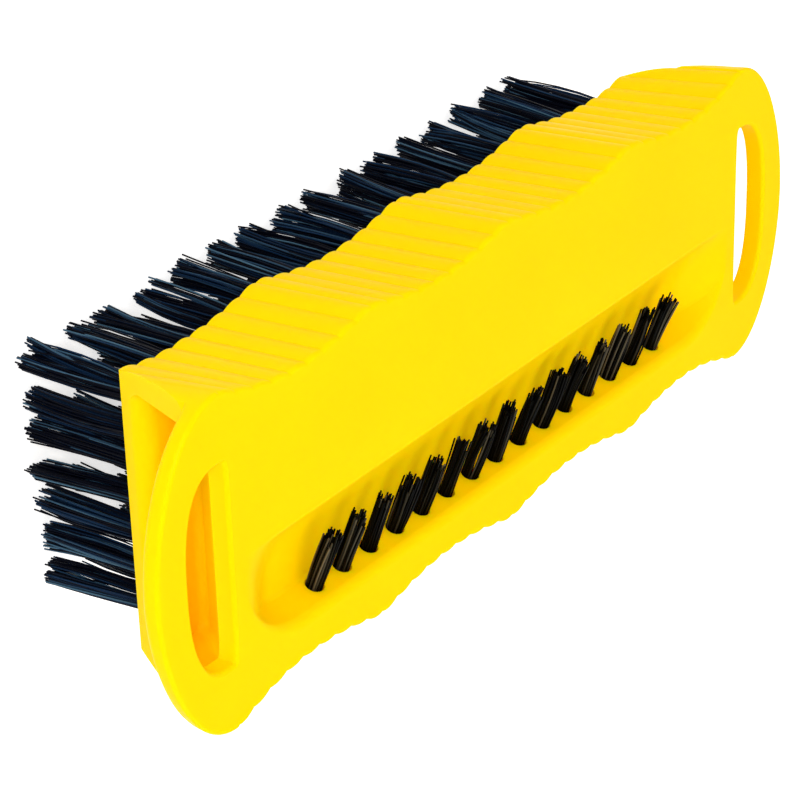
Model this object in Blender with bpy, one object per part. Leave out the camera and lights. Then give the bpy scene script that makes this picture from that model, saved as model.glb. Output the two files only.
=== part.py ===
"""Two-sided nail brush: a moulded body with wavy finger grips and a loop at each end.

The brush stands on its main bristles, +Z up, with its length along X.
The origin is on the standing plane, under the middle of the brush.
All lengths are in metres.
"""

import bpy
import bmesh
import math
import random
from mathutils import Matrix, Vector

# Outline of the body, seen from above.
CREST_PITCH = 0.0250
CREST_HALF_WIDTH = 0.0186
END_CREST_RISE = 0.0008
GRIP_HOLLOW = 0.0017
CREST_SOFTNESS = 0.0012
WAVES = 4
RIBS_PER_WAVE = 9
RIB_DEPTH = 0.0003
LOOP_REACH = 0.0108

# Heights and walls of the body.
BODY_DEPTH = 0.0154
SIDE_TAPER = 0.0012
END_TAPER = 0.0010
FRONT_WALL = 0.0025
BACK_WALL = 0.0042
SIDE_WALL = 0.0006
END_WALL_SETBACK = 0.0137
END_WALL_SLANT = 0.0064
RECESS_DEPTH = 0.0061
RECESS_SLANT = 0.0060
EDGE_ROUND = 0.0006

# The D-shaped slot in each loop end.
SLOT_RIM = 0.0047
SLOT_BOW = 0.0066
SLOT_HALF_LENGTH = 0.0116
SLOT_CORNER = 0.0009

# The scoop in the front face that holds the nail bristles.
SCOOP_TO_SLOT = 0.0020
SCOOP_TO_SIDE = 0.0047
SCOOP_FLOOR_RUN = 0.0099
SCOOP_FLOOR_ANGLE = math.radians(43)
SCOOP_FLAT = 0.0002
SCOOP_ROOT_FILLET = 0.0006
SCOOP_LIP_FILLET = 0.0014
SCOOP_END_SLOPE = 0.0080
SCOOP_CORNER = 0.0100

# The row of nail bristles.
NAIL_TUFTS = 15
NAIL_END_MARGIN = 0.0140
NAIL_LEAN = math.radians(69)
NAIL_LENGTH = 0.0084
NAIL_ROOT_DEPTH = 0.0025
NAIL_BUNDLE_RADIUS = 0.00072
NAIL_STRAND_RADIUS = 0.00026
NAIL_STRANDS = 5
NAIL_COLLAR = 0.00013
NAIL_PLUG_DEPTH = 0.0026
NAIL_HOLE_OVERRUN = 0.0006
NAIL_TIP_RAGGEDNESS = 0.0007

# The staple that holds each nail tuft in its hole.
STAPLE_WIRE = 0.00035
STAPLE_HEIGHT = 0.0011
STAPLE_INSET = 0.00025

# The main bristles.
BRISTLE_LENGTH = 0.0152
COLUMNS = 16
ROWS = 7
COLUMN_END_MARGIN = 0.0032
ROW_SIDE_MARGIN = 0.0034
TUFT_RADIUS = 0.00075
TUFT_FLARE = 0.00045
STRAND_RADIUS = 0.00050
STRANDS_PER_TUFT = 3
TUFT_LEAN = 0.00020
SLICE_MARGIN = 0.00055
SEAT_FLOOR = 0.0021

# Gap between pieces, overrun of every cutter, and how far joined shapes sink into each other.
GAP = 0.0003
OVERRUN = 0.0020
WELD_DEPTH = 0.0004
MERGE = 0.00002

# Numbers without a unit that shape the curves.
LOOP_WIDTH_SHARE = 1.08
LOOP_REACH_SHARE = 1.0
SLOT_FULLNESS_SHARE = 2.6
WAVE_POWER_SHARE = 2.0
SCOOP_END_SHARE = 0.30
RIB_STEP_SHARES = (0.0, 1 / 3, 2 / 3)
LOOP_STEPS = 26
SLOT_STEPS = 16
SCOOP_FLOOR_STEPS = 7
SCOOP_FILLET_STEPS = 3
SCOOP_END_STEPS = 6
PLUG_SIDES = 8
STRAND_SIDES = 4
RANDOM_SEED = 7

# Places that follow from the sizes above.
VALLEY_HALF_WIDTH = CREST_HALF_WIDTH - GRIP_HOLLOW
BACK_Z = BRISTLE_LENGTH
FRONT_Z = BACK_Z + BODY_DEPTH
END_CREST_X = CREST_PITCH * WAVES / 2
END_CREST_HALF_WIDTH = CREST_HALF_WIDTH + END_CREST_RISE
HALF_LENGTH = END_CREST_X + LOOP_REACH
BACK_HALF_LENGTH = HALF_LENGTH - END_WALL_SETBACK
SLOT_X = HALF_LENGTH - SLOT_RIM - SLOT_BOW
BACK_VALLEY_HALF_WIDTH = VALLEY_HALF_WIDTH - SIDE_TAPER
RECESS_HALF_WIDTH = BACK_VALLEY_HALF_WIDTH - SIDE_WALL
SCOOP_HALF_LENGTH = SLOT_X - SCOOP_TO_SLOT
SCOOP_FLOOR_RADIUS = SCOOP_FLOOR_RUN / math.sin(SCOOP_FLOOR_ANGLE)
SCOOP_DEPTH = SCOOP_FLOOR_RADIUS * (1 - math.cos(SCOOP_FLOOR_ANGLE))
SCOOP_TOP_Y = SCOOP_TO_SIDE - VALLEY_HALF_WIDTH
SCOOP_FOOT_Y = SCOOP_TOP_Y + SCOOP_DEPTH / math.tan(NAIL_LEAN)
SCOOP_FLOOR_Y = SCOOP_FOOT_Y + SCOOP_FLAT + SCOOP_ROOT_FILLET * math.tan(NAIL_LEAN / 2)
SCOOP_EDGE_Y = SCOOP_FLOOR_Y + SCOOP_FLOOR_RUN
NAIL_ROOT_Y = SCOOP_TOP_Y + NAIL_ROOT_DEPTH / math.tan(NAIL_LEAN)
NAIL_ROOT = Vector((0, NAIL_ROOT_Y, FRONT_Z - NAIL_ROOT_DEPTH))
NAIL_AXIS = Vector((0, math.sin(NAIL_LEAN), math.cos(NAIL_LEAN)))
WALL_UP = Vector((0, -math.cos(NAIL_LEAN), math.sin(NAIL_LEAN)))
NAIL_PITCH = 2 * (SCOOP_HALF_LENGTH - NAIL_END_MARGIN) / (NAIL_TUFTS - 1)
NAIL_PLUG_RADIUS = NAIL_BUNDLE_RADIUS + NAIL_STRAND_RADIUS + NAIL_COLLAR
STAPLE_WIDTH = 2 * (NAIL_PLUG_RADIUS - STAPLE_INSET)
COLUMN_PITCH = 2 * (BACK_HALF_LENGTH - COLUMN_END_MARGIN) / (COLUMNS - 1)
ROW_PITCH = 2 * (BACK_VALLEY_HALF_WIDTH - ROW_SIDE_MARGIN) / (ROWS - 1)
SLICE_BORDER = TUFT_RADIUS + STRAND_RADIUS + SLICE_MARGIN
SLICE_WIDTH = 2 * SLICE_BORDER
SLICE_HALF_LENGTH = ROW_PITCH * (ROWS - 1) / 2 + SLICE_BORDER
SLICE_THICKNESS = BACK_WALL - SEAT_FLOOR - GAP


def clear_scene():
    """Remove whatever the file holds."""
    for thing in list(bpy.data.objects):
        bpy.data.objects.remove(thing, do_unlink=True)


def new_collection(name):
    """A collection linked to the scene."""
    group = bpy.data.collections.new(name)
    bpy.context.scene.collection.children.link(group)
    return group


def new_material(name, colour, roughness, metallic=0):
    """A plain Principled material."""
    finish = bpy.data.materials.new(name)
    finish.use_nodes = True
    shader = finish.node_tree.nodes["Principled BSDF"]
    shader.inputs["Base Color"].default_value = (*colour, 1)
    shader.inputs["Roughness"].default_value = roughness
    shader.inputs["Metallic"].default_value = metallic
    return finish


def new_object(name, mesh, group, matrix=None):
    """Link a mesh as an object in a collection."""
    thing = bpy.data.objects.new(name, mesh)
    group.objects.link(thing)
    if matrix is not None:
        thing.matrix_world = matrix
    return thing


def as_cutter(thing):
    """Mark an object as a cutter, which the build leaves out."""
    thing.hide_render = True
    thing.display_type = "WIRE"
    return thing


def lies_in_cap(edge, height):
    """True for an edge with the flat top or the flat bottom on both sides of it."""
    corners = [corner for face in edge.link_faces for corner in face.verts]
    top = all(abs(corner.co.z - height) < MERGE for corner in corners)
    bottom = all(abs(corner.co.z + height) < MERGE for corner in corners)
    return top or bottom


def outline_solid(name, points, thickness, group, matrix, rounding=0):
    """A flat outline given a thickness, centred on its own plane, as one welded mesh."""
    curve = bpy.data.curves.new(name, "CURVE")
    curve.dimensions = "2D"
    curve.fill_mode = "BOTH"
    curve.extrude = thickness / 2 - rounding
    curve.bevel_depth = rounding
    curve.bevel_resolution = 0
    curve.offset = -rounding
    spline = curve.splines.new("POLY")
    spline.points.add(len(points) - 1)
    for spot, (x, y) in zip(spline.points, points):
        spot.co = (x, y, 0, 1)
    spline.use_cyclic_u = True
    drawn = bpy.data.objects.new(name + "_curve", curve)
    group.objects.link(drawn)
    drawn.matrix_world = matrix
    bpy.context.view_layer.update()
    depsgraph = bpy.context.evaluated_depsgraph_get()
    mesh = bpy.data.meshes.new_from_object(drawn.evaluated_get(depsgraph))
    mesh.name = name
    bpy.data.objects.remove(drawn, do_unlink=True)
    welded = bmesh.new()
    welded.from_mesh(mesh)
    bmesh.ops.remove_doubles(welded, verts=welded.verts, dist=MERGE)
    inner = [edge for edge in welded.edges if lies_in_cap(edge, thickness / 2)]
    bmesh.ops.dissolve_edges(welded, edges=inner, use_verts=False, use_face_split=False)
    bmesh.ops.recalc_face_normals(welded, faces=welded.faces)
    welded.to_mesh(mesh)
    welded.free()
    return new_object(name, mesh, group, matrix)


def box_mesh(name, centre, size):
    """A box as a mesh in world places."""
    shape = bmesh.new()
    bmesh.ops.create_cube(shape, size=1)
    bmesh.ops.scale(shape, vec=Vector(size), verts=shape.verts)
    bmesh.ops.translate(shape, vec=Vector(centre), verts=shape.verts)
    mesh = bpy.data.meshes.new(name)
    shape.to_mesh(mesh)
    shape.free()
    return mesh


def add_box(shape, size, matrix):
    """Add a box of the given size to a bmesh, placed by a matrix."""
    made = bmesh.ops.create_cube(shape, size=1)
    bmesh.ops.scale(shape, vec=Vector(size), verts=made["verts"])
    bmesh.ops.transform(shape, matrix=matrix, verts=made["verts"])


def cut(thing, cutter):
    """Subtract a cutter with a live Boolean."""
    step = thing.modifiers.new("cut_" + cutter.name, "BOOLEAN")
    step.operation = "DIFFERENCE"
    step.solver = "EXACT"
    step.object = cutter


def join(thing, other):
    """Fuse another shape on with a live Boolean."""
    step = thing.modifiers.new("join_" + other.name, "BOOLEAN")
    step.operation = "UNION"
    step.solver = "EXACT"
    step.object = other


def grip_half_width(x):
    """Half width of the body at x, without the small ribs: concave waves between soft crests."""
    half = CREST_PITCH / 2
    nearest = round(x / CREST_PITCH) * CREST_PITCH
    from_crest = math.hypot(x - nearest, CREST_SOFTNESS)
    fall = max(0.0, 1 - from_crest / half) ** WAVE_POWER_SHARE
    full = (1 - CREST_SOFTNESS / half) ** WAVE_POWER_SHARE
    crest = CREST_HALF_WIDTH if abs(nearest) < END_CREST_X - MERGE else END_CREST_HALF_WIDTH
    return VALLEY_HALF_WIDTH + (crest - VALLEY_HALF_WIDTH) * fall / full


def grip_side():
    """Points of one ribbed side from the left end crest to the right one."""
    ribs = WAVES * RIBS_PER_WAVE
    rib_pitch = 2 * END_CREST_X / ribs
    points = []
    for rib in range(ribs):
        for along in RIB_STEP_SHARES:
            x = -END_CREST_X + rib_pitch * (rib + along)
            notch = RIB_DEPTH * (2 * along - 1) ** 2
            if rib == 0 and along == 0:
                notch = 0
            points.append((x, grip_half_width(x) - notch))
    return points


def loop_end():
    """Points of the right loop end, from its upper crest round to its lower crest."""
    points = []
    for step in range(LOOP_STEPS + 1):
        turn = math.pi * (step / LOOP_STEPS - 0.5)
        reach = LOOP_REACH * max(0, math.cos(turn)) ** LOOP_REACH_SHARE
        width = END_CREST_HALF_WIDTH * abs(math.sin(turn)) ** LOOP_WIDTH_SHARE
        points.append((END_CREST_X + reach, -math.copysign(width, turn)))
    return points


def body_outline():
    """The whole outline of the body, anticlockwise from above."""
    upper = grip_side()
    right = loop_end()
    lower = [(-x, -y) for x, y in upper]
    left = [(-x, -y) for x, y in right]
    clockwise = upper + right[:-1] + lower + left[:-1]
    return list(reversed(clockwise))


def slot_outline(side):
    """A D-shaped slot: straight inside, bowed outside, with rounded corners."""
    flat_y = SLOT_HALF_LENGTH - SLOT_CORNER
    points = [(SLOT_X, -flat_y)]
    for step in range(1, SLOT_STEPS):
        turn = math.pi * (step / SLOT_STEPS - 0.5)
        out = SLOT_BOW * math.cos(turn) ** (2 / SLOT_FULLNESS_SHARE)
        up = SLOT_HALF_LENGTH * abs(math.sin(turn)) ** (2 / SLOT_FULLNESS_SHARE)
        points.append((SLOT_X + out, math.copysign(up, turn)))
    points.append((SLOT_X, flat_y))
    return [(side * x, side * y) for x, y in points]


def scoop_profile():
    """Section of the scoop in Y and Z, from its crisp upper edge down and up to the lower lip."""
    points = []
    for step in range(SCOOP_FLOOR_STEPS + 1):
        turn = SCOOP_FLOOR_ANGLE * (1 - step / SCOOP_FLOOR_STEPS)
        y = SCOOP_FLOOR_Y + SCOOP_FLOOR_RADIUS * math.sin(turn)
        points.append((y, SCOOP_FLOOR_RADIUS * (1 - math.cos(turn)) - SCOOP_DEPTH))
    root_centre_y = SCOOP_FOOT_Y + SCOOP_ROOT_FILLET * math.tan(NAIL_LEAN / 2)
    for step in range(SCOOP_FILLET_STEPS + 1):
        turn = NAIL_LEAN * step / SCOOP_FILLET_STEPS
        y = root_centre_y - SCOOP_ROOT_FILLET * math.sin(turn)
        points.append((y, SCOOP_ROOT_FILLET * (1 - math.cos(turn)) - SCOOP_DEPTH))
    lip_centre_y = SCOOP_TOP_Y - SCOOP_LIP_FILLET * math.tan(NAIL_LEAN / 2)
    for step in range(SCOOP_FILLET_STEPS + 1):
        turn = NAIL_LEAN * (1 - step / SCOOP_FILLET_STEPS)
        y = lip_centre_y + SCOOP_LIP_FILLET * math.sin(turn)
        points.append((y, SCOOP_LIP_FILLET * (math.cos(turn) - 1)))
    return points


def scoop_station_shares(x):
    """How deep and how wide the scoop is at x, as shares of its full section."""
    from_end = SCOOP_HALF_LENGTH - abs(x)
    slope = min(1.0, max(0.0, from_end / SCOOP_END_SLOPE))
    deep = slope * slope * (3 - 2 * slope)
    corner = min(1.0, max(0.0, from_end / SCOOP_CORNER))
    wide = SCOOP_END_SHARE + (1 - SCOOP_END_SHARE) * math.sqrt(1 - (1 - corner) ** 2)
    return deep, wide


def scoop_cutter(group):
    """The scoop as one closed shape: a loft of its section, shallower and narrower at both ends."""
    half_stations = [0]
    for step in range(SCOOP_END_STEPS + 1):
        half_stations.append(SCOOP_HALF_LENGTH - SCOOP_CORNER * (1 - step / SCOOP_END_STEPS) ** 2)
    stations = [-x for x in reversed(half_stations[1:])] + half_stations
    profile = scoop_profile()
    shape = bmesh.new()
    rings = []
    for x in stations:
        deep, wide = scoop_station_shares(x)
        ring = []
        for y, z in profile:
            low_y = SCOOP_EDGE_Y + (y - SCOOP_EDGE_Y) * wide
            ring.append(shape.verts.new((x, low_y, FRONT_Z + z * deep)))
        low_y = SCOOP_EDGE_Y + (profile[-1][0] - SCOOP_EDGE_Y) * wide
        ring.append(shape.verts.new((x, low_y, FRONT_Z + OVERRUN)))
        ring.append(shape.verts.new((x, SCOOP_EDGE_Y, FRONT_Z + OVERRUN)))
        rings.append(ring)
    for first, second in zip(rings, rings[1:]):
        for index in range(len(first)):
            after = (index + 1) % len(first)
            shape.faces.new((first[index], first[after], second[after], second[index]))
    shape.faces.new(rings[0])
    shape.faces.new(rings[-1])
    bmesh.ops.remove_doubles(shape, verts=shape.verts, dist=MERGE)
    bmesh.ops.recalc_face_normals(shape, faces=shape.faces)
    mesh = bpy.data.meshes.new("scoop")
    shape.to_mesh(mesh)
    shape.free()
    return as_cutter(new_object("scoop", mesh, group))


def side_outline(name, points, side, width, group):
    """An outline seen from the long side, given a width across the brush, for either end."""
    if side < 0:
        points = [(-x, z) for x, z in reversed(points)]
    turn = Matrix(((1, 0, 0), (0, 0, -1), (0, 1, 0))).to_4x4()
    return outline_solid(name, points, width, group, turn)


def recess_cutter(side, group):
    """The recess below the loop: its end wall leans out towards the loop, its sides follow the body's."""
    low_x = BACK_HALF_LENGTH - RECESS_DEPTH
    high_x = low_x + RECESS_SLANT
    far_x = HALF_LENGTH + OVERRUN
    floor_z = BACK_Z + BACK_WALL
    roof_z = FRONT_Z - FRONT_WALL
    points = [(low_x, floor_z), (far_x, floor_z), (far_x, roof_z), (high_x, roof_z)]
    space = side_outline("recess", points, side, 2 * RECESS_HALF_WIDTH, group)
    for corner in space.data.vertices:
        rise = (corner.co.y - floor_z) / BODY_DEPTH
        corner.co.z += math.copysign(SIDE_TAPER * rise, corner.co.z)
    return as_cutter(space)


def end_cutter(side, group):
    """What is cut away below the loop: the side walls end on a slant from the back to the loop."""
    under_z = FRONT_Z - FRONT_WALL
    slant = END_WALL_SLANT / BODY_DEPTH
    top_x = BACK_HALF_LENGTH + slant * (BODY_DEPTH - FRONT_WALL)
    low_x = BACK_HALF_LENGTH - slant * OVERRUN
    far_x = HALF_LENGTH + OVERRUN
    points = [(low_x, BACK_Z - OVERRUN), (far_x, BACK_Z - OVERRUN), (far_x, under_z), (top_x, under_z)]
    return as_cutter(side_outline("end_space", points, side, 2 * (END_CREST_HALF_WIDTH + OVERRUN), group))


def slot_cutter(side, group):
    """The slot through the loop."""
    middle_z = FRONT_Z - FRONT_WALL / 2
    thickness = FRONT_WALL + 2 * OVERRUN
    matrix = Matrix.Translation((0, 0, middle_z))
    return as_cutter(outline_solid("slot", slot_outline(side), thickness, group, matrix))


def column_x(column):
    """Centre of a column of main tufts."""
    return COLUMN_PITCH * (column - (COLUMNS - 1) / 2)


def nail_x(tuft):
    """Centre of a nail tuft."""
    return NAIL_PITCH * (tuft - (NAIL_TUFTS - 1) / 2)


def slice_seats_cutter(group):
    """One seat in the back wall for each slice of backing, a gap larger all round."""
    shape = bmesh.new()
    depth = SLICE_THICKNESS + GAP + OVERRUN
    for column in range(COLUMNS):
        size = (SLICE_WIDTH + 2 * GAP, 2 * (SLICE_HALF_LENGTH + GAP), depth)
        place = Matrix.Translation((column_x(column), 0, BACK_Z - OVERRUN + depth / 2))
        add_box(shape, size, place)
    mesh = bpy.data.meshes.new("slice_seats")
    shape.to_mesh(mesh)
    shape.free()
    return as_cutter(new_object("slice_seats", mesh, group))


def nail_frame(tuft):
    """Frame of a nail tuft: Z along its bristles, Y up the wall, origin where it leaves the wall."""
    across = WALL_UP.cross(NAIL_AXIS)
    turn = Matrix((across, WALL_UP, NAIL_AXIS)).transposed().to_4x4()
    return Matrix.Translation(NAIL_ROOT + Vector((nail_x(tuft), 0, 0))) @ turn


def add_peg(shape, radius, low, high, matrix):
    """Add a straight peg along a frame's Z axis."""
    place = matrix @ Matrix.Translation((0, 0, (low + high) / 2))
    bmesh.ops.create_cone(
        shape,
        cap_ends=True,
        segments=PLUG_SIDES,
        radius1=radius,
        radius2=radius,
        depth=high - low,
        matrix=place @ Matrix.Rotation(math.pi / PLUG_SIDES, 4, "Z"),
    )


def nail_holes_cutter(group):
    """The holes that the nail tufts are set in."""
    shape = bmesh.new()
    radius = NAIL_PLUG_RADIUS + GAP / math.cos(math.pi / PLUG_SIDES)
    bottom = -(NAIL_PLUG_DEPTH + GAP)
    for tuft in range(NAIL_TUFTS):
        add_peg(shape, radius, bottom, NAIL_HOLE_OVERRUN, nail_frame(tuft))
    mesh = bpy.data.meshes.new("nail_holes")
    shape.to_mesh(mesh)
    shape.free()
    return as_cutter(new_object("nail_holes", mesh, group))


def taper_sides(body):
    """Lean both long sides in towards the back, and more so past the last hollow."""
    for corner in body.data.vertices:
        down = 0.5 - corner.co.z / BODY_DEPTH
        full = min(1, abs(corner.co.y) / (VALLEY_HALF_WIDTH - EDGE_ROUND - RIB_DEPTH))
        past_hollow = 1 - (END_CREST_X - abs(corner.co.x)) / (CREST_PITCH / 2)
        taper = SIDE_TAPER + END_TAPER * min(1, max(0, past_hollow))
        corner.co.y -= math.copysign(taper * down * full, corner.co.y)


def make_body(parts, cutters, finish):
    """The body: one moulding with its loops, recesses, scoop and seats."""
    middle = Matrix.Translation((0, 0, (BACK_Z + FRONT_Z) / 2))
    body = outline_solid("body_moulding", body_outline(), BODY_DEPTH, parts, middle, EDGE_ROUND)
    body.data.materials.append(finish)
    taper_sides(body)
    for side in (-1, 1):
        cut(body, recess_cutter(side, cutters))
        cut(body, end_cutter(side, cutters))
        cut(body, slot_cutter(side, cutters))
    cut(body, scoop_cutter(cutters))
    cut(body, nail_holes_cutter(cutters))
    cut(body, slice_seats_cutter(cutters))
    return body


def add_strand(shape, foot, tip, radius, turn):
    """Add one straight strand from foot to tip, both its ends level."""
    height = tip.z - foot.z
    place = Matrix.Translation(foot + Vector((0, 0, height / 2))) @ Matrix.Rotation(turn, 4, "Z")
    made = bmesh.ops.create_cone(
        shape,
        cap_ends=True,
        segments=STRAND_SIDES,
        radius1=radius,
        radius2=radius,
        depth=height,
        matrix=place,
    )
    lean = Vector((tip.x - foot.x, tip.y - foot.y, 0))
    top = [corner for corner in made["verts"] if corner.co.z > foot.z + height / 2]
    bmesh.ops.translate(shape, vec=lean, verts=top)


def main_strands(column, rng):
    """All the strands of one column of main tufts, pointing down to the standing plane."""
    shape = bmesh.new()
    for row in range(ROWS):
        tuft_y = ROW_PITCH * (row - (ROWS - 1) / 2)
        lean = Vector((rng.uniform(-TUFT_LEAN, TUFT_LEAN), rng.uniform(-TUFT_LEAN, TUFT_LEAN), 0))
        spin = rng.uniform(0, math.pi)
        for strand in range(STRANDS_PER_TUFT):
            turn = spin + 2 * math.pi * strand / STRANDS_PER_TUFT
            out = Vector((math.cos(turn), math.sin(turn), 0))
            middle = Vector((column_x(column), tuft_y, 0))
            tip = middle + out * (TUFT_RADIUS + TUFT_FLARE) + lean
            foot = middle + out * TUFT_RADIUS
            foot.z = BACK_Z + WELD_DEPTH
            low = Vector((tip.x, tip.y, 0))
            add_strand(shape, low, foot, STRAND_RADIUS, turn)
    return shape


def make_main_column(column, parts, cutters, finish, rng):
    """One column of main tufts, fused to the slice of backing that it is set in."""
    name = f"main_tufts_{column + 1:02d}"
    centre = (column_x(column), 0, BACK_Z + SLICE_THICKNESS / 2)
    size = (SLICE_WIDTH, 2 * SLICE_HALF_LENGTH, SLICE_THICKNESS)
    slice_of_backing = new_object(name, box_mesh(name, centre, size), parts)
    slice_of_backing.data.materials.append(finish)
    shape = main_strands(column, rng)
    mesh = bpy.data.meshes.new(name + "_strands")
    shape.to_mesh(mesh)
    shape.free()
    strands = as_cutter(new_object(name + "_strands", mesh, cutters))
    join(slice_of_backing, strands)
    return slice_of_backing


def make_nail_tuft(tuft, parts, cutters, finish, rng):
    """One nail tuft, fused to the plug of backing round its root, with a slot for its staple."""
    name = f"nail_tuft_{tuft + 1:02d}"
    frame = nail_frame(tuft)
    shape = bmesh.new()
    add_peg(shape, NAIL_PLUG_RADIUS, -NAIL_PLUG_DEPTH, 0, Matrix.Identity(4))
    mesh = bpy.data.meshes.new(name)
    shape.to_mesh(mesh)
    shape.free()
    plug = new_object(name, mesh, parts, frame)
    plug.data.materials.append(finish)
    shape = bmesh.new()
    spin = rng.uniform(0, math.pi / 2)
    for strand in range(NAIL_STRANDS):
        ring = strand > 0
        turn = spin + 2 * math.pi * strand / (NAIL_STRANDS - 1)
        out = Vector((math.cos(turn), math.sin(turn), 0)) * (NAIL_BUNDLE_RADIUS if ring else 0)
        foot = Vector((out.x, out.y, -WELD_DEPTH))
        tip = Vector((out.x, out.y, NAIL_LENGTH - rng.uniform(0, NAIL_TIP_RAGGEDNESS)))
        add_strand(shape, foot, tip, NAIL_STRAND_RADIUS, turn)
    mesh = bpy.data.meshes.new(name + "_strands")
    shape.to_mesh(mesh)
    shape.free()
    strands = as_cutter(new_object(name + "_strands", mesh, cutters, frame))
    join(plug, strands)
    slot_depth = STAPLE_HEIGHT + GAP
    size = (2 * (NAIL_PLUG_RADIUS + OVERRUN), STAPLE_WIRE + 2 * GAP, slot_depth + OVERRUN)
    middle = (0, 0, -NAIL_PLUG_DEPTH + slot_depth - size[2] / 2)
    slot = new_object(name + "_slot", box_mesh(name + "_slot", middle, size), cutters, frame)
    cut(plug, as_cutter(slot))
    return plug


def make_nail_staple(tuft, parts, finish):
    """The flat staple at the bottom of one nail tuft's hole."""
    name = f"nail_staple_{tuft + 1:02d}"
    size = (STAPLE_WIDTH, STAPLE_WIRE, STAPLE_HEIGHT)
    middle = (0, 0, -NAIL_PLUG_DEPTH + STAPLE_HEIGHT / 2)
    staple = new_object(name, box_mesh(name, middle, size), parts, nail_frame(tuft))
    staple.data.materials.append(finish)
    return staple


def main():
    clear_scene()
    parts = new_collection("nail_brush")
    cutters = new_collection("cutters")
    yellow = new_material("yellow_plastic", (1.0, 0.72, 0.0), 0.35)
    black = new_material("black_filament", (0.010, 0.014, 0.035), 0.35)
    steel = new_material("staple_steel", (0.62, 0.60, 0.56), 0.30, 1.0)
    make_body(parts, cutters, yellow)
    rng = random.Random(RANDOM_SEED)
    for column in range(COLUMNS):
        make_main_column(column, parts, cutters, black, rng)
    for tuft in range(NAIL_TUFTS):
        make_nail_tuft(tuft, parts, cutters, black, rng)
        make_nail_staple(tuft, parts, steel)
    for thing in parts.objects:
        thing.data.shade_smooth()
        thing.data.set_sharp_from_angle(angle=math.radians(30))


main()
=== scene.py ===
"""Nail brush, dressed: a moulded body, seven rows of long bristles and one row of nail bristles.

Everything is in metres in the part's own frame: the brush stands on its long bristles, +Z up, length along X.
"""

import math

import bmesh
import bpy
from mathutils import Matrix, Vector


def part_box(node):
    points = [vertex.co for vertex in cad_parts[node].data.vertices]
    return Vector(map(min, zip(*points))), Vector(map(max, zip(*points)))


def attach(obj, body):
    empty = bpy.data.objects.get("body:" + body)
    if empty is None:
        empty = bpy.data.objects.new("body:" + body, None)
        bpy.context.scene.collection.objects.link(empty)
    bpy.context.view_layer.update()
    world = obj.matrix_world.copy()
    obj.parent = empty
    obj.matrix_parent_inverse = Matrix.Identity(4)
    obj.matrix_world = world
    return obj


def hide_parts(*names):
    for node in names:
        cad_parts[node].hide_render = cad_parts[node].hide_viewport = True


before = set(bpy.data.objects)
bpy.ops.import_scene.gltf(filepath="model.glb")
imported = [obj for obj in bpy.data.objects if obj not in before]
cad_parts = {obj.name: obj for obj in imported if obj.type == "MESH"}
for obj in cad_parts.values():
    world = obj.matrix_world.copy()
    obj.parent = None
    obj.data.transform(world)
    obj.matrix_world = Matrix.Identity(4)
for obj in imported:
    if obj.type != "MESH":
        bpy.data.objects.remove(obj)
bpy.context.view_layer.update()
body_low, body_high = (Vector(corner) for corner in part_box("body_moulding"))

# Camera.
# The photograph was taken from the plain long side, above the left end, with the camera turned on its side.
# Its place, direction and lens come from matching the outline of the body and the two slots.
camera_data = bpy.data.cameras.new("camera")
camera_data.lens = 132.3
camera_data.sensor_width = 36.0
camera_data.clip_start = 0.01
camera_right = Vector((0.584843, -0.027608, 0.810676)).normalized()
camera_back = Vector((-0.711925, 0.461503, 0.529318)).normalized()
camera_up = camera_back.cross(camera_right)
camera_turn = Matrix((camera_right, camera_up, camera_back)).transposed().to_4x4()
camera_place = (-0.240356, 0.148030, 0.193803)
camera = bpy.data.objects.new("camera", camera_data)
camera.matrix_world = Matrix.Translation(camera_place) @ camera_turn
bpy.context.scene.collection.objects.link(camera)
bpy.context.scene.camera = camera

# Daylight tent: white walls all round, and two soft lamps.
# The walls light the brush evenly from every side and look pure white to the camera.
# One lamp is by the camera and one shines into the scoop, so that few shadows are left.
bpy.context.scene.view_settings.view_transform = "Standard"
tent = bpy.data.worlds.new("tent")
tent.use_nodes = True
bpy.context.scene.world = tent
tent_walls = tent.node_tree.nodes["Background"]
tent_walls.inputs["Color"].default_value = (1.0, 1.0, 1.0, 1.0)
tent_sight = tent.node_tree.nodes.new("ShaderNodeLightPath")
tent_strength = tent.node_tree.nodes.new("ShaderNodeMapRange")
tent_strength.inputs["To Min"].default_value = 0.80
tent.node_tree.links.new(tent_sight.outputs["Is Camera Ray"], tent_strength.inputs["Value"])
tent.node_tree.links.new(tent_strength.outputs[0], tent_walls.inputs["Strength"])


def hang_lamp(name, place, aim, width, power):
    """A square soft lamp at a place, turned to face a point."""
    lamp_data = bpy.data.lights.new(name, "AREA")
    lamp_data.shape = "SQUARE"
    lamp_data.size = width
    lamp_data.energy = power
    lamp = bpy.data.objects.new(name, lamp_data)
    lamp.location = place
    lamp.rotation_euler = (Vector(aim) - Vector(place)).to_track_quat("-Z", "Y").to_euler()
    bpy.context.scene.collection.objects.link(lamp)


brush_middle = (0.0, 0.0, 0.02)
hang_lamp("lamp_by_camera", (-0.534, 0.346, 0.417), brush_middle, 0.16, 2.8)
hang_lamp("lamp_into_scoop", (-0.30, -0.50, 0.75), brush_middle, 1.20, 4.0)

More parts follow.
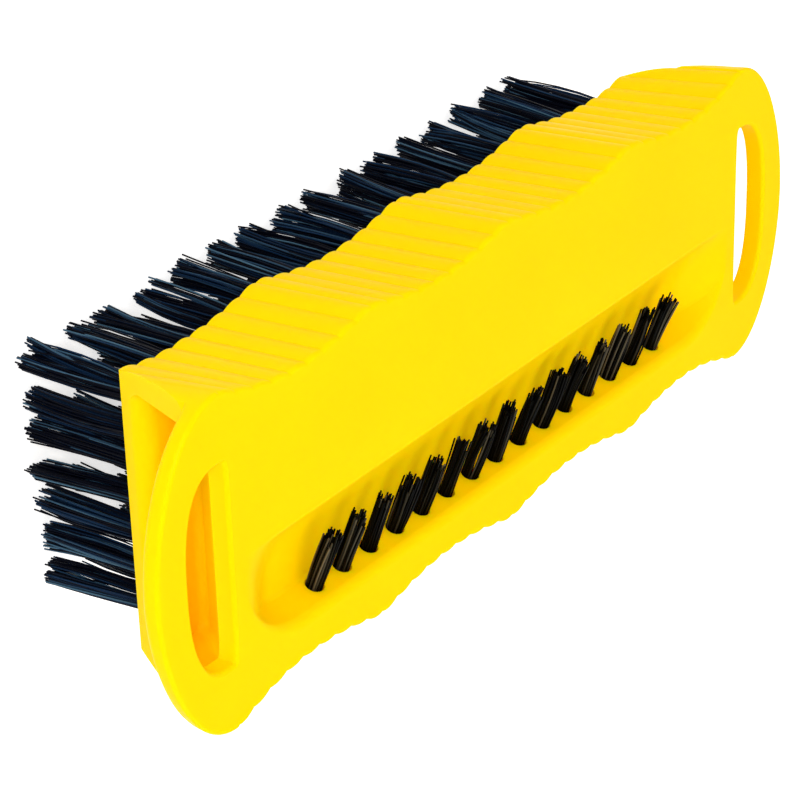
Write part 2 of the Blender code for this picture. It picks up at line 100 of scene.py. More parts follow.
# Table.
# A white sheet that the bristle tips stand on, which keeps the brush's soft shadow.
table_reach = 3
table_z = -0.0002
table_mesh = bpy.data.meshes.new("table")
table_mesh.from_pydata([
    (-table_reach, -table_reach, table_z), (table_reach, -table_reach, table_z),
    (table_reach, table_reach, table_z), (-table_reach, table_reach, table_z),
], [], [(0, 1, 2, 3)])
table = bpy.data.objects.new("table", table_mesh)
bpy.context.scene.collection.objects.link(table)
table_white = bpy.data.materials.new("table_white")
table_white.use_nodes = True
table_nodes = table_white.node_tree.nodes
table_links = table_white.node_tree.links
table_paper = table_nodes["Principled BSDF"]
table_paper.inputs["Base Color"].default_value = (0.82, 0.82, 0.82, 1.0)
table_paper.inputs["Roughness"].default_value = 0.9
table_paper.inputs["Specular IOR Level"].default_value = 0.0
table_glow = table_nodes.new("ShaderNodeEmission")
table_path = table_nodes.new("ShaderNodeLightPath")
table_seen = table_nodes.new("ShaderNodeMath")
table_seen.operation = "MAXIMUM"
table_share = table_nodes.new("ShaderNodeMath")
table_share.operation = "MULTIPLY"
table_share.inputs[1].default_value = 0.60
table_sum = table_nodes.new("ShaderNodeAddShader")
table_links.new(table_path.outputs["Is Camera Ray"], table_seen.inputs[0])
table_links.new(table_path.outputs["Is Glossy Ray"], table_seen.inputs[1])
table_links.new(table_seen.outputs[0], table_share.inputs[0])
table_links.new(table_share.outputs[0], table_glow.inputs["Strength"])
table_links.new(table_paper.outputs[0], table_sum.inputs[0])
table_links.new(table_glow.outputs[0], table_sum.inputs[1])
table_links.new(table_sum.outputs[0], table_nodes["Material Output"].inputs["Surface"])
table_mesh.materials.append(table_white)

# Body moulding.
# One thick moulding of smooth yellow plastic: finger waves with fine ribs down both long sides,
# a flat front face with a scoop in it, a loop with a D-shaped slot at each end, a recess below each loop.
front_z = body_high.z
back_z = body_low.z
depth = front_z - back_z
half_length = body_high.x
crest_pitch = 0.0250
crest_half_width = 0.0186
end_crest_half_width = body_high.y
valley_half_width = 0.0169
crest_softness = 0.0012
end_crest_x = 0.0500
ribs_a_side = 36
rib_depth = 0.0003
side_taper = 0.0012
end_taper = 0.0010
front_round = 0.0005
back_round = 0.00025
plate_thickness = 0.0025
plate_under_round = 0.0012
plate_root_x = 0.0520
plate_root_run = 0.0012
full_taper_inset = 0.0010
loop_fullness = 1.08
overrun = 0.0020


def grip_half_width(x):
    """Half width of the body at x before the small ribs: hollows between soft crests."""
    half = crest_pitch / 2
    nearest = round(x / crest_pitch) * crest_pitch
    fall = max(0.0, 1 - math.hypot(x - nearest, crest_softness) / half) ** 2
    full = (1 - crest_softness / half) ** 2
    crest = crest_half_width if abs(nearest) < end_crest_x - crest_softness else end_crest_half_width
    return valley_half_width + (crest - valley_half_width) * fall / full


def body_edge(rib_steps=10, loop_steps=64):
    """The outline of the body from above."""
    half_way = []
    for rib in range(ribs_a_side):
        for step in range(rib_steps):
            along = step / rib_steps
            x = -end_crest_x + 2 * end_crest_x * (rib + along) / ribs_a_side
            notch = 0 if rib == 0 and step == 0 else rib_depth * (2 * along - 1) ** 2
            half_way.append(Vector((x, grip_half_width(x) - notch)))
    for step in range(loop_steps):
        turn = math.pi * (step / loop_steps - 0.5)
        out = (half_length - end_crest_x) * max(0.0, math.cos(turn))
        wide = end_crest_half_width * abs(math.sin(turn)) ** loop_fullness
        half_way.append(Vector((end_crest_x + out, -math.copysign(wide, turn))))
    return half_way + [-spot for spot in half_way]


def outward(edge, reach=1):
    """The outward direction at each point of a closed outline, judged from its neighbours within a reach."""
    area = sum(here.x * after.y - after.x * here.y for here, after in zip(edge, edge[1:] + edge[:1]))
    turn = math.copysign(1, area)
    directions = []
    for index in range(len(edge)):
        along = edge[(index + reach) % len(edge)] - edge[index - reach]
        directions.append(Vector((along.y, -along.x)).normalized() * turn)
    return directions


def stack_rings(shape, rings, tip=None):
    """Close a stack of equal rings into a solid skin; with a tip, both lids are strips across from it."""
    made = [[shape.verts.new(spot) for spot in ring] for ring in rings]
    count = len(made[0])
    for upper, lower in zip(made, made[1:]):
        for index in range(count):
            after = (index + 1) % count
            shape.faces.new((upper[index], upper[after], lower[after], lower[index]))
    for ring in (made[0], made[-1]):
        if tip is None:
            shape.faces.new(ring)
            continue
        for step in range(count // 2):
            corners = (tip + step, tip + step + 1, tip - step - 1, tip - step)
            strip = []
            for corner in corners:
                if ring[corner % count] not in strip:
                    strip.append(ring[corner % count])
            shape.faces.new(strip)


def solid_object(name, shape):
    """A closed shape as an object, its faces outwards."""
    bmesh.ops.recalc_face_normals(shape, faces=shape.faces)
    mesh = bpy.data.meshes.new(name)
    shape.to_mesh(mesh)
    shape.free()
    thing = bpy.data.objects.new(name, mesh)
    bpy.context.scene.collection.objects.link(thing)
    return thing


def body_levels():
    """Height steps of the body's skin: inset of the whole edge, inset under the loops, depth."""
    levels = []
    for step in range(8):
        turn = math.pi / 2 * step / 7
        levels.append((front_round * (1 - math.sin(turn)), 0.0, front_round * (1 - math.cos(turn))))
    for step in range(5):
        turn = math.pi / 2 * step / 4
        inset = plate_under_round * (1 - math.cos(turn))
        levels.append((0.0, inset, plate_thickness - plate_under_round * (1 - math.sin(turn))))
    for share in (0.35, 0.6, 0.85):
        levels.append((0.0, plate_under_round, depth * share))
    for step in range(4):
        turn = math.pi / 2 * step / 3
        inset = back_round * (1 - math.cos(turn))
        levels.append((inset, plate_under_round, depth - back_round * (1 - math.sin(turn))))
    return levels


def body_skin():
    """Rings from the front face round its soft edge, down the tapered sides to the back."""
    edge = body_edge()
    directions = outward(edge, 3)
    rings = []
    for inset, under_inset, down in body_levels():
        ring = []
        for spot, direction in zip(edge, directions):
            on_loop = min(1.0, max(0.0, (abs(spot.x) - plate_root_x) / plate_root_run))
            x, y = spot - direction * (inset + under_inset * on_loop)
            full = min(1, abs(y) / (valley_half_width - full_taper_inset))
            past_hollow = 1 - (end_crest_x - abs(x)) / (crest_pitch / 2)
            taper = side_taper + end_taper * min(1, max(0, past_hollow))
            y -= math.copysign(taper * down / depth * full, y)
            ring.append((x, y, front_z - down))
        rings.append(ring)
    shape = bmesh.new()
    stack_rings(shape, rings, max(range(len(edge)), key=lambda index: edge[index].x))
    return solid_object("body_shell", shape)


def rounded(corners, radii, steps=6):
    """A flat outline with each of its corners rounded."""
    spots = []
    for index, (corner, radius) in enumerate(zip(corners, radii)):
        before = (corners[index - 1] - corner).normalized()
        after = (corners[(index + 1) % len(corners)] - corner).normalized()
        half = before.angle(after) / 2
        reach = radius / math.tan(half)
        centre = corner + (before + after).normalized() * radius / math.sin(half)
        first = corner + before * reach - centre
        sweep = first.angle_signed(corner + after * reach - centre)
        for step in range(steps + 1):
            turn = -sweep * step / steps
            turned = Vector((first.x * math.cos(turn) - first.y * math.sin(turn),
                             first.x * math.sin(turn) + first.y * math.cos(turn)))
            spots.append(centre + turned)
    return spots


def side_space(name, corners, radii, side, stations, flare=0.0):
    """A space with one outline seen from the long side, drawn in at each station, and wider higher up."""
    section = rounded([Vector(corner) for corner in corners], radii)
    middle = sum(section, Vector((0, 0))) / len(section)
    shape = bmesh.new()
    rings = []
    for y, shrink in stations:
        ring = []
        for spot in section:
            x, z = spot + Vector((math.copysign(shrink, middle.x - spot.x), 0))
            ring.append((side * x, y + math.copysign(flare * (z - back_z), y), z))
        rings.append(ring)
    stack_rings(shape, rings)
    return solid_object(name, shape)


end_setback = 0.0137
end_slant = 0.0064
recess_depth = 0.0061
recess_slant = 0.0060
back_wall = 0.0042
back_lip = 0.0010
side_wall = 0.0008
hair = 0.00002
back_half_length = half_length - end_setback
end_lean = end_slant / depth


def recess_space(side):
    """The recess between the side walls: its end wall leans out towards the loop."""
    low_x = back_half_length - recess_depth
    far_x = half_length + overrun
    floor_z = back_z + back_wall
    roof_z = front_z - plate_thickness
    low_z = back_z + back_lip
    brink_x = back_half_length + end_lean * (floor_z - back_z) + hair
    step_x = brink_x - end_lean * (floor_z - low_z)
    corners = (
        (low_x, floor_z), (brink_x, floor_z), (step_x, low_z), (far_x, low_z), (far_x, roof_z),
        (low_x + recess_slant, roof_z),
    )
    wide = valley_half_width - side_taper - side_wall
    soft = 0.0014
    stations = []
    for step in range(6):
        turn = math.pi / 2 * step / 5
        stations.append((wide - soft * (1 - math.sin(turn)), soft * (1 - math.cos(turn))))
    stations = stations[::-1] + [(-y, shrink) for y, shrink in stations]
    radii = (0.0008, 0.0018, 0.0002, 0.0008, 0.0008, 0.0008)
    return side_space("recess_space", corners, radii, side, stations, side_taper / depth)


def end_space(side):
    """The space past the slanted ends of the side walls, below the loop."""
    top_x = back_half_length + end_lean * (depth - plate_thickness)
    far_x = half_length + overrun
    inner_x = back_half_length - 0.0025
    low_z = back_z - overrun
    brink_z = back_z - hair
    corner = 0.0006
    high_z = front_z - plate_thickness
    corners = (
        (inner_x, low_z), (far_x, low_z), (far_x, high_z), (top_x, high_z), (back_half_length, brink_z),
        (inner_x, brink_z),
    )
    wide = end_crest_half_width + overrun
    return side_space("end_space", corners, (corner,) * 6, side, ((-wide, 0.0), (wide, 0.0)))


def slot_space(side):
    """The D-shaped slot of one loop, flared at both faces so that its edges are soft."""
    flat_x = 0.0495
    corner = 0.0009
    bow = 0.0066
    half = 0.0116
    steps = 112
    edge = []
    for step in range(steps):
        turn = 2 * math.pi * step / steps
        across, along = math.cos(turn), math.sin(turn)
        fullness = 2.6 if across > 0 else 8.0
        reach = bow - corner if across > 0 else corner
        x = flat_x + corner + math.copysign(reach * abs(across) ** (2 / fullness), across)
        y = math.copysign(half * abs(along) ** (2 / fullness), along)
        edge.append(Vector((side * x, y)))
    directions = outward(edge)
    soft = 0.0005
    soft_below = 0.6 * soft
    profile = [(soft, overrun)]
    for step in range(1, 6):
        turn = math.pi / 2 * step / 5
        profile.append((soft * (1 - math.sin(turn)), -soft * (1 - math.cos(turn))))
    for step in range(4, 0, -1):
        turn = math.pi / 2 * step / 5
        rise = soft_below * (1 - math.cos(turn)) - plate_thickness
        profile.append((soft_below * (1 - math.sin(turn)), rise))
    profile.append((soft_below, -plate_thickness - overrun))
    shape = bmesh.new()
    rings = []
    for flare, rise in profile:
        flared = [spot + direction * flare for spot, direction in zip(edge, directions)]
        rings.append([(*spot, front_z + rise) for spot in flared])
    stack_rings(shape, rings)
    return solid_object("slot_space", shape)


nail_lean = math.radians(69)
scoop_half_length = 0.0475
scoop_corner = 0.0100
scoop_slope = 0.0080
scoop_end_share = 0.30
scoop_lower_rim = 0.0047
scoop_foot_flat = 0.0002
scoop_floor_run = 0.0099
scoop_floor_angle = math.radians(43)
scoop_root_round = 0.0006
scoop_lip_round = 0.0014
scoop_edge_round = 0.0006
scoop_top_y = scoop_lower_rim - valley_half_width
scoop_floor_radius = scoop_floor_run / math.sin(scoop_floor_angle)
scoop_bottom = scoop_floor_radius * (1 - math.cos(scoop_floor_angle))
scoop_foot_y = scoop_top_y + scoop_bottom / math.tan(nail_lean)
scoop_floor_y = scoop_foot_y + scoop_foot_flat + scoop_root_round * math.tan(nail_lean / 2)
scoop_edge_y = scoop_floor_y + scoop_floor_run


def scoop_section():
    """Across the scoop: a crisp upper edge, a round floor, and the steep wall that the bristles leave."""
    spots = []
    reach = scoop_edge_round * math.tan(scoop_floor_angle / 2)
    for step in range(6):
        turn = scoop_floor_angle * step / 6
        y = scoop_edge_y + reach - scoop_edge_round * math.sin(turn)
        spots.append((y, scoop_edge_round * (math.cos(turn) - 1)))
    start = scoop_floor_angle - reach / scoop_floor_radius
    for step in range(25):
        turn = start * (1 - step / 24)
        y = scoop_floor_y + scoop_floor_radius * math.sin(turn)
        spots.append((y, scoop_floor_radius * (1 - math.cos(turn)) - scoop_bottom))
    root_y = scoop_foot_y + scoop_root_round * math.tan(nail_lean / 2)
    for step in range(9):
        turn = nail_lean * step / 8
        y = root_y - scoop_root_round * math.sin(turn)
        spots.append((y, scoop_root_round * (1 - math.cos(turn)) - scoop_bottom))
    lip_y = scoop_top_y - scoop_lip_round * math.tan(nail_lean / 2)
    for step in range(9):
        turn = nail_lean * (1 - step / 8)
        y = lip_y + scoop_lip_round * math.sin(turn)
        spots.append((y, scoop_lip_round * (math.cos(turn) - 1)))
    return spots


def scoop_space():
    """The scoop along the brush: the section grows shallower and narrower to a soft end."""
    section = scoop_section()
    stations = [0.0]
    for step in range(33):
        stations.append(scoop_half_length - scoop_corner * (1 - step / 32) ** 2)
    stations = [-x for x in reversed(stations[1:])] + stations
    rings = []
    for x in stations:
        from_end = scoop_half_length - abs(x)
        fall = min(1.0, from_end / scoop_slope)
        deep = fall * fall * (3 - 2 * fall)
        bend = math.sqrt(1 - (1 - min(1.0, from_end / scoop_corner)) ** 2)
        wide = scoop_end_share + (1 - scoop_end_share) * bend
        ring = [(x, scoop_edge_y + (y - scoop_edge_y) * wide, front_z + z * deep) for y, z in section]
        ring.append((x, ring[-1][1], front_z + overrun))
        ring.append((x, ring[0][1], front_z + overrun))
        rings.append(ring)
    shape = bmesh.new()
    stack_rings(shape, rings)
    bmesh.ops.remove_doubles(shape, verts=shape.verts, dist=0.000002)
    return solid_object("scoop_space", shape)


def settle(thing):
    """Turn an object and its modifiers into one plain mesh."""
    bpy.context.view_layer.update()
    drawn = thing.evaluated_get(bpy.context.evaluated_depsgraph_get())
    old = thing.data
    thing.data = bpy.data.meshes.new_from_object(drawn)
    thing.data.name = thing.name
    thing.modifiers.clear()
    bpy.data.meshes.remove(old)


def carve(thing, space):
    """Take a space out of a solid, and delete what marked the space."""
    step = thing.modifiers.new("carve", "BOOLEAN")
    step.operation = "DIFFERENCE"
    step.solver = "MANIFOLD"
    step.object = space
    settle(thing)
    bpy.data.objects.remove(space, do_unlink=True)


tuft_columns = 16
tuft_rows = 7
column_margin = 0.0032
row_margin = 0.0034
column_pitch = 2 * (back_half_length - column_margin) / (tuft_columns - 1)
row_pitch = 2 * (valley_half_width - side_taper - row_margin) / (tuft_rows - 1)
hole_radius = 0.00138
hole_depth = 0.0021
hole_mouth = 0.0005
nail_tufts = 15
nail_row_margin = 0.0140
nail_pitch = 2 * (scoop_half_length - nail_row_margin) / (nail_tufts - 1)
nail_root_depth = 0.0025
nail_hole_radius = 0.00110
nail_hole_depth = 0.0027
nail_axis = Vector((0, math.sin(nail_lean), math.cos(nail_lean)))
nail_root_y = scoop_top_y + nail_root_depth / math.tan(nail_lean)


def spaced(index, count, pitch):
    """The place of one of several things in an even row about the middle."""
    return pitch * (index - (count - 1) / 2)


def nail_root(tuft):
    """Where one nail tuft leaves the wall of the scoop."""
    return Vector((spaced(tuft, nail_tufts, nail_pitch), nail_root_y, front_z - nail_root_depth))


def add_hole(shape, mouth, inward, radius, bottom, sides):
    """Add a round drilled space, from a little outside its mouth inwards."""
    turn = inward.to_track_quat("Z", "Y").to_matrix().to_4x4()
    middle = mouth + inward * (bottom - hole_mouth) / 2
    bmesh.ops.create_cone(
        shape, cap_ends=True, segments=sides, radius1=radius, radius2=radius,
        depth=bottom + hole_mouth, matrix=Matrix.Translation(middle) @ turn,
    )


def tuft_holes():
    """The blind holes that the tufts are stapled into."""
    shape = bmesh.new()
    for column in range(tuft_columns):
        for row in range(tuft_rows):
            x, y = spaced(column, tuft_columns, column_pitch), spaced(row, tuft_rows, row_pitch)
            add_hole(shape, Vector((x, y, back_z)), Vector((0, 0, 1)), hole_radius, hole_depth, 20)
    for tuft in range(nail_tufts):
        add_hole(shape, nail_root(tuft), -nail_axis, nail_hole_radius, nail_hole_depth, 18)
    return solid_object("tuft_holes", shape)


body = body_skin()
for side in (-1, 1):
    carve(body, recess_space(side))
    carve(body, end_space(side))
    carve(body, slot_space(side))
carve(body, scoop_space())
carve(body, tuft_holes())
body.data.shade_smooth()
body.data.set_sharp_from_angle(angle=math.radians(26))
weighing = body.modifiers.new("weighing", "WEIGHTED_NORMAL")
weighing.keep_sharp = True
weighing.weight = 60
settle(body)


def body_plastic():
    """Yellow moulded plastic with little shine: faint flow marks, fine orange peel, light spread inside."""
    finish = bpy.data.materials.new("yellow_moulding")
    finish.use_nodes = True
    nodes, links = finish.node_tree.nodes, finish.node_tree.links
    shader = nodes["Principled BSDF"]
    place = nodes.new("ShaderNodeTexCoord")
    flow = nodes.new("ShaderNodeTexNoise")
    flow.inputs["Scale"].default_value = 45.0
    flow.inputs["Detail"].default_value = 3.0
    links.new(place.outputs["Object"], flow.inputs["Vector"])
    tint = nodes.new("ShaderNodeValToRGB")
    tint.color_ramp.elements[0].position = 0.30
    tint.color_ramp.elements[0].color = (1.0, 0.580, 0.0, 1.0)
    tint.color_ramp.elements[1].position = 0.70
    tint.color_ramp.elements[1].color = (1.0, 0.610, 0.0, 1.0)
    links.new(flow.outputs[0], tint.inputs["Fac"])
    links.new(tint.outputs["Color"], shader.inputs["Base Color"])
    peel = nodes.new("ShaderNodeTexNoise")
    peel.inputs["Scale"].default_value = 900.0
    peel.inputs["Detail"].default_value = 2.0
    links.new(place.outputs["Object"], peel.inputs["Vector"])
    skin = nodes.new("ShaderNodeBump")
    skin.inputs["Strength"].default_value = 0.05
    skin.inputs["Distance"].default_value = 0.0001
    links.new(peel.outputs[0], skin.inputs["Height"])
    links.new(skin.outputs["Normal"], shader.inputs["Normal"])
    shine = nodes.new("ShaderNodeMapRange")
    shine.inputs["To Min"].default_value = 0.30
    shine.inputs["To Max"].default_value = 0.40
    links.new(flow.outputs[0], shine.inputs["Value"])
    links.new(shine.outputs[0], shader.inputs["Roughness"])
    shader.inputs["Subsurface Weight"].default_value = 0.50
    shader.inputs["Subsurface Radius"].default_value = (1.0, 0.40, 0.03)
    shader.inputs["Subsurface Scale"].default_value = 0.0025
    shader.inputs["IOR"].default_value = 1.49
    shader.inputs["Specular IOR Level"].default_value = 0.015
    return finish


body.data.materials.clear()
body.data.materials.append(body_plastic())
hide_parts("body_moulding")
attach(body, "root")

# Main bristles.
# 112 tufts of blue-black nylon filament in seven rows, each folded in half and stapled into its hole.
# The filaments leave the hole tight together, spread to their tips and are trimmed to one length.


def add_node(tree, kind, **settings):
    """A node with some of its settings."""
    node = tree.nodes.new(kind)
    for name, value in settings.items():
        setattr(node, name, value)
    return node


def sum_node(tree, operation, first, second=None):
    """A Math node fed by two sockets or numbers."""
    node = add_node(tree, "ShaderNodeMath", operation=operation)
    for index, value in enumerate((first, second)):
        if value is None:
            continue
        if isinstance(value, (int, float)):
            node.inputs[index].default_value = value
        else:
            tree.links.new(value, node.inputs[index])
    return node.outputs[0]


def tuft_tree():
    """Geometry Nodes that grow a row of tufts along Y, filament by filament, then turn and place them."""
    tree = bpy.data.node_groups.new("tuft_row", "GeometryNodeTree")
    sockets = (
        ("Tufts", "NodeSocketInt"), ("Tuft Pitch", "NodeSocketFloat"), ("Filaments", "NodeSocketInt"),
        ("Root Radius", "NodeSocketFloat"), ("Spread", "NodeSocketFloat"), ("Thickness", "NodeSocketFloat"),
        ("Root Depth", "NodeSocketFloat"), ("Length", "NodeSocketFloat"), ("Ragged", "NodeSocketFloat"),
        ("Stray", "NodeSocketFloat"), ("Bulge", "NodeSocketFloat"), ("Lean", "NodeSocketFloat"),
        ("Fan", "NodeSocketFloat"), ("Seed", "NodeSocketInt"), ("Turn", "NodeSocketFloat"),
        ("Root", "NodeSocketVector"), ("Finish", "NodeSocketMaterial"),
    )
    for name, kind in sockets:
        tree.interface.new_socket(name=name, in_out="INPUT", socket_type=kind)
    tree.interface.new_socket(name="Geometry", in_out="OUTPUT", socket_type="NodeSocketGeometry")
    given = add_node(tree, "NodeGroupInput").outputs
    link = tree.links.new
    index = add_node(tree, "GeometryNodeInputIndex").outputs[0]
    tuft = sum_node(tree, "FLOOR", sum_node(tree, "DIVIDE", index, given["Filaments"]))
    placed_before = sum_node(tree, "MULTIPLY", tuft, given["Filaments"])
    order = sum_node(tree, "SUBTRACT", index, placed_before)

    def chance(low, high, salt, ident=None):
        """A random number for each filament, or for each tuft or lock."""
        node = add_node(tree, "FunctionNodeRandomValue", data_type="FLOAT")
        node.inputs[2].default_value = low
        node.inputs[3].default_value = high
        link(ident if ident is not None else index, node.inputs["ID"])
        link(sum_node(tree, "ADD", given["Seed"], salt), node.inputs["Seed"])
        return node.outputs[1]

    def vector(x, y, z):
        """A vector of sockets or numbers."""
        node = add_node(tree, "ShaderNodeCombineXYZ")
        for socket, value in zip(node.inputs, (x, y, z)):
            if isinstance(value, (int, float)):
                socket.default_value = value
            else:
                link(value, socket)
        return node.outputs[0]

    def product(first, *others):
        """Sockets or numbers multiplied together."""
        for other in others:
            first = sum_node(tree, "MULTIPLY", first, other)
        return first

    def total(first, *others):
        """Sockets or numbers added together."""
        for other in others:
            first = sum_node(tree, "ADD", first, other)
        return first

    def astray(low, high, salt, ident=None):
        """A random share of the stray distance."""
        return product(chance(low, high, salt, ident), given["Stray"])

    golden_angle, full_turn, locks = 2.39996, 6.28318, 5
    share = sum_node(tree, "SQRT", sum_node(tree, "DIVIDE", total(order, 0.5), given["Filaments"]))
    spin = total(product(order, golden_angle), chance(0, 6.28, 1, tuft))
    round_share = sum_node(tree, "FRACT", sum_node(tree, "DIVIDE", spin, full_turn))
    wedge = sum_node(tree, "FLOOR", product(round_share, locks))
    lock = total(product(tuft, locks), wedge)
    away = product(share, given["Root Radius"], chance(0.90, 1.0, 2))
    out_x = sum_node(tree, "COSINE", spin)
    out_y = sum_node(tree, "SINE", spin)
    last = sum_node(tree, "SUBTRACT", given["Tufts"], 1)
    row = sum_node(tree, "SUBTRACT", tuft, product(last, 0.5))
    row_y = product(row, given["Tuft Pitch"])
    root_y = total(row_y, product(out_y, away))
    root = vector(product(out_x, away), root_y, product(given["Root Depth"], -1.0))
    fan = product(share, given["Spread"], chance(0.4, 1.15, 3))
    lean_x = total(
        product(out_x, fan), astray(-0.8, 0.8, 4, tuft), astray(-0.8, 0.8, 12, lock),
        astray(-0.4, 0.4, 5), given["Lean"],
    )
    lean_y = total(
        product(out_y, fan), astray(-0.5, 0.5, 6, tuft), astray(-0.8, 0.8, 13, lock),
        astray(-0.4, 0.4, 7), product(row_y, given["Fan"]),
    )
    uneven = total(sum_node(tree, "POWER", chance(0.0, 0.8, 8), 1.6), chance(0.0, 0.4, 14, lock))
    short = product(uneven, given["Ragged"])
    rise = total(sum_node(tree, "SUBTRACT", given["Length"], short), given["Root Depth"])
    lean = vector(lean_x, lean_y, rise)
    bulge = product(share, given["Bulge"])
    bow = vector(
        total(product(out_x, bulge), astray(-0.6, 0.6, 9, lock)),
        total(product(out_y, bulge), astray(-0.6, 0.6, 10, lock)),
        0.0,
    )

    points = add_node(tree, "GeometryNodePoints")
    link(product(given["Tufts"], given["Filaments"]), points.inputs["Count"])
    kept = add_node(tree, "GeometryNodeCaptureAttribute", domain="POINT")
    for kind, name, value in (("VECTOR", "root", root), ("VECTOR", "lean", lean), ("VECTOR", "bow", bow)):
        kept.capture_items.new(kind, name)
        link(value, kept.inputs[name])
    link(points.outputs[0], kept.inputs["Geometry"])
    toned = add_node(tree, "GeometryNodeStoreNamedAttribute", data_type="FLOAT", domain="POINT")
    toned.inputs["Name"].default_value = "tone"
    link(kept.outputs["Geometry"], toned.inputs["Geometry"])
    link(chance(0.0, 1.0, 11), toned.inputs["Value"])
    line = add_node(tree, "GeometryNodeCurvePrimitiveLine")
    bits = add_node(tree, "GeometryNodeResampleCurve")
    bits.inputs["Count"].default_value = 6
    link(line.outputs[0], bits.inputs["Curve"])
    spread_out = add_node(tree, "GeometryNodeInstanceOnPoints")
    link(toned.outputs["Geometry"], spread_out.inputs["Points"])
    link(bits.outputs[0], spread_out.inputs["Instance"])
    loose = add_node(tree, "GeometryNodeRealizeInstances")
    link(spread_out.outputs[0], loose.inputs[0])

    factor = add_node(tree, "GeometryNodeSplineParameter").outputs["Factor"]
    grown = add_node(tree, "ShaderNodeVectorMath", operation="MULTIPLY_ADD")
    curl = add_node(tree, "ShaderNodeVectorMath", operation="MULTIPLY_ADD")
    widen = sum_node(tree, "POWER", factor, 1.25)
    link(kept.outputs["lean"], grown.inputs[0])
    link(vector(widen, widen, factor), grown.inputs[1])
    link(kept.outputs["root"], grown.inputs[2])
    swell = product(factor, sum_node(tree, "SUBTRACT", 1.0, factor), 4.0)
    link(kept.outputs["bow"], curl.inputs[0])
    link(vector(swell, swell, swell), curl.inputs[1])
    link(grown.outputs[0], curl.inputs[2])
    bent = add_node(tree, "GeometryNodeSetPosition")
    link(loose.outputs[0], bent.inputs["Geometry"])
    link(curl.outputs[0], bent.inputs["Position"])
    marked = add_node(tree, "GeometryNodeStoreNamedAttribute", data_type="FLOAT", domain="POINT")
    marked.inputs["Name"].default_value = "along"
    link(bent.outputs["Geometry"], marked.inputs["Geometry"])
    link(factor, marked.inputs["Value"])
    round_bar = add_node(tree, "GeometryNodeCurvePrimitiveCircle")
    round_bar.inputs["Resolution"].default_value = 5
    link(given["Thickness"], round_bar.inputs["Radius"])
    skin = add_node(tree, "GeometryNodeCurveToMesh")
    skin.inputs["Fill Caps"].default_value = True
    link(marked.outputs["Geometry"], skin.inputs["Curve"])
    link(round_bar.outputs[0], skin.inputs["Profile Curve"])
    placed = add_node(tree, "GeometryNodeTransform")
    link(skin.outputs[0], placed.inputs["Geometry"])
    link(given["Root"], placed.inputs["Translation"])
    link(vector(given["Turn"], 0.0, 0.0), placed.inputs["Rotation"])
    whole = add_node(tree, "GeometryNodeRealizeInstances")
    link(placed.outputs[0], whole.inputs[0])
    coloured = add_node(tree, "GeometryNodeSetMaterial")
    link(whole.outputs[0], coloured.inputs["Geometry"])
    link(given["Finish"], coloured.inputs["Material"])
    result = add_node(tree, "NodeGroupOutput")
    link(coloured.outputs[0], result.inputs[0])
    return tree


def grow_tufts(name, tree, values):
    """An object grown by a tree of nodes, turned into a plain mesh."""
    thing = bpy.data.objects.new(name, bpy.data.meshes.new(name))
    grower = thing.modifiers.new("grower", "NODES")
    grower.node_group = tree
    sockets = {item.name: item.identifier for item in tree.interface.items_tree if item.in_out == "INPUT"}
    for label, value in values.items():
        grower[sockets[label]] = value
    bpy.context.scene.collection.objects.link(thing)
    settle(thing)
    thing.data.shade_smooth()
    thing.data.set_sharp_from_angle(angle=math.radians(75))
    return thing


def filament(name, dark, middle, light):
    """Smooth nylon filament: most are dark; some are paler, a painted sheen that stands in for highlight
    streaks; and all are dimmed near the root by painted shade where they crowd together.
    """
    finish = bpy.data.materials.new(name)
    finish.use_nodes = True
    nodes, links = finish.node_tree.nodes, finish.node_tree.links
    shader = nodes["Principled BSDF"]
    tone = nodes.new("ShaderNodeAttribute")
    tone.attribute_name = "tone"
    ramp = nodes.new("ShaderNodeValToRGB")
    # Painted sheen: the filaments picked at random by tone get paler colours that stand in for highlight
    # streaks.
    ramp.color_ramp.elements[0].position = 0.55
    ramp.color_ramp.elements[0].color = (*dark, 1.0)
    ramp.color_ramp.elements[1].position = 1.0
    ramp.color_ramp.elements[1].color = (*light, 1.0)
    ramp.color_ramp.elements.new(0.82).color = (*middle, 1.0)
    links.new(tone.outputs["Fac"], ramp.inputs["Fac"])
    # Painted shade: the colour dims towards the root, where the filaments crowd together under the body.
    along = nodes.new("ShaderNodeAttribute")
    along.attribute_name = "along"
    shade = nodes.new("ShaderNodeMapRange")
    shade.inputs["From Max"].default_value = 0.55
    shade.inputs["To Min"].default_value = 0.30
    links.new(along.outputs["Fac"], shade.inputs["Value"])
    root_shade_mix = nodes.new("ShaderNodeMix")
    root_shade_mix.data_type = "RGBA"
    root_shade_mix.inputs["A"].default_value = (*dark, 1.0)
    links.new(shade.outputs[0], root_shade_mix.inputs[0])
    links.new(ramp.outputs["Color"], root_shade_mix.inputs["B"])
    links.new(root_shade_mix.outputs[2], shader.inputs["Base Color"])
    shader.inputs["Roughness"].default_value = 0.30
    shader.inputs["IOR"].default_value = 1.53
    shader.inputs["Specular IOR Level"].default_value = 0.04
    return finish


tuft_row = tuft_tree()
# Blue-black nylon; its paler blue filaments are a painted sheen of steel-blue highlight streaks.
blue_black = filament(
    "blue_black_nylon", (0.0002, 0.0007, 0.0040), (0.004, 0.020, 0.055), (0.055, 0.120, 0.180),
)
for column in range(tuft_columns):
    name = f"main_tufts_{column + 1:02d}"
    column_x = spaced(column, tuft_columns, column_pitch)
    tufts = grow_tufts(name + "_filaments", tuft_row, {
        "Tufts": tuft_rows, "Tuft Pitch": row_pitch, "Filaments": 100, "Root Radius": 0.00116,
        "Spread": 0.00010, "Thickness": 0.000100, "Root Depth": 0.0018, "Length": back_z - 0.0001,
        "Ragged": 0.0015, "Stray": 0.00080, "Bulge": 0.00020, "Lean": 0.014 * column_x, "Fan": 0.045,
        "Seed": 40 + column, "Turn": math.pi, "Root": (column_x, 0.0, back_z), "Finish": blue_black,
    })
    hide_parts(name)
    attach(tufts, "root")
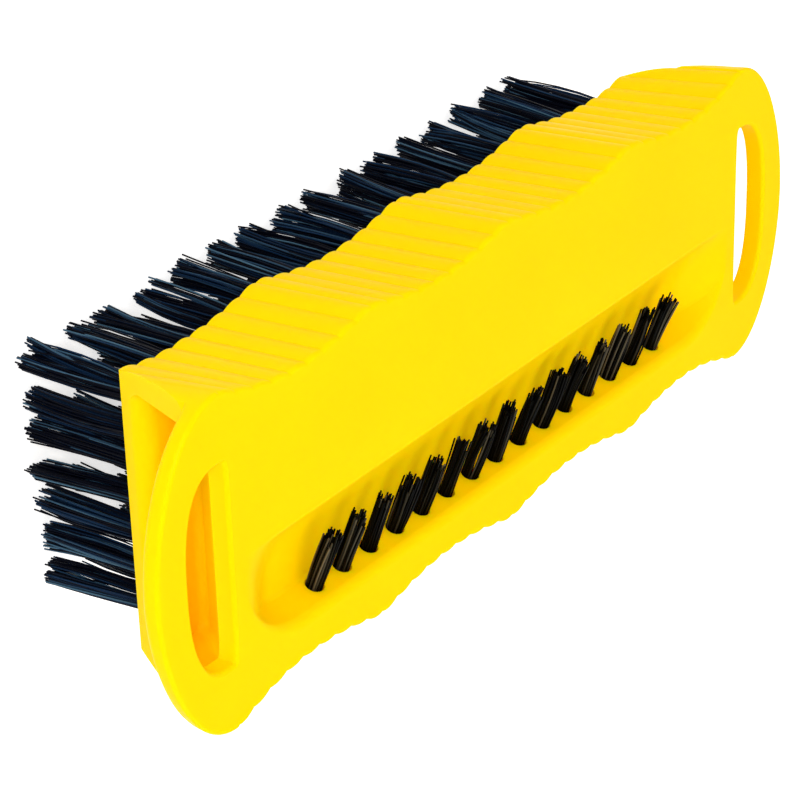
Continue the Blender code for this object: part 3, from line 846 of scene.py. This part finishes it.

# Nail bristles.
# Fifteen short tufts of black filament that lean out of the steep lower wall of the scoop.
# They are stiffer, closer together and more raggedly trimmed than the main ones.
# Black nylon; its olive filaments are a painted sheen of olive highlight lines.
black_with_olive_sheen = filament(
    "black_nylon_olive_sheen", (0.0004, 0.0004, 0.0004), (0.004, 0.004, 0.003), (0.120, 0.100, 0.060),
)
for tuft in range(nail_tufts):
    name = f"nail_tuft_{tuft + 1:02d}"
    tufts = grow_tufts(name + "_filaments", tuft_row, {
        "Tufts": 1, "Tuft Pitch": 0.0, "Filaments": 40, "Root Radius": 0.00092,
        "Spread": 0.00004, "Thickness": 0.00011, "Root Depth": 0.0012, "Length": 0.0081,
        "Ragged": 0.0022, "Stray": 0.00030, "Bulge": 0.0, "Lean": 0.0, "Fan": 0.0,
        "Seed": 80 + tuft, "Turn": -nail_lean,
        "Root": nail_root(tuft), "Finish": black_with_olive_sheen,
    })
    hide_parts(name)
    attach(tufts, "root")

# Staples.
# A short piece of flat steel wire at the bottom of each nail tuft's hole, which holds the folded filaments.
staple_wire = bpy.data.materials.new("drawn_staple_wire")
staple_wire.use_nodes = True
wire_nodes, wire_links = staple_wire.node_tree.nodes, staple_wire.node_tree.links
wire_shader = wire_nodes["Principled BSDF"]
wire_shader.inputs["Metallic"].default_value = 1.0
wire_place = wire_nodes.new("ShaderNodeTexCoord")
wire_lines = wire_nodes.new("ShaderNodeTexNoise")
wire_lines.inputs["Scale"].default_value = 4000.0
wire_tint = wire_nodes.new("ShaderNodeValToRGB")
wire_tint.color_ramp.elements[0].color = (0.42, 0.41, 0.39, 1.0)
wire_tint.color_ramp.elements[1].color = (0.66, 0.65, 0.62, 1.0)
wire_links.new(wire_place.outputs["Object"], wire_lines.inputs["Vector"])
wire_links.new(wire_lines.outputs[0], wire_tint.inputs["Fac"])
wire_links.new(wire_tint.outputs["Color"], wire_shader.inputs["Base Color"])
wire_shine = wire_nodes.new("ShaderNodeMapRange")
wire_shine.inputs["To Min"].default_value = 0.25
wire_shine.inputs["To Max"].default_value = 0.45
wire_links.new(wire_lines.outputs[0], wire_shine.inputs["Value"])
wire_links.new(wire_shine.outputs[0], wire_shader.inputs["Roughness"])
for tuft in range(nail_tufts):
    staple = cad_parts[f"nail_staple_{tuft + 1:02d}"]
    staple.data.materials.clear()
    staple.data.materials.append(staple_wire)
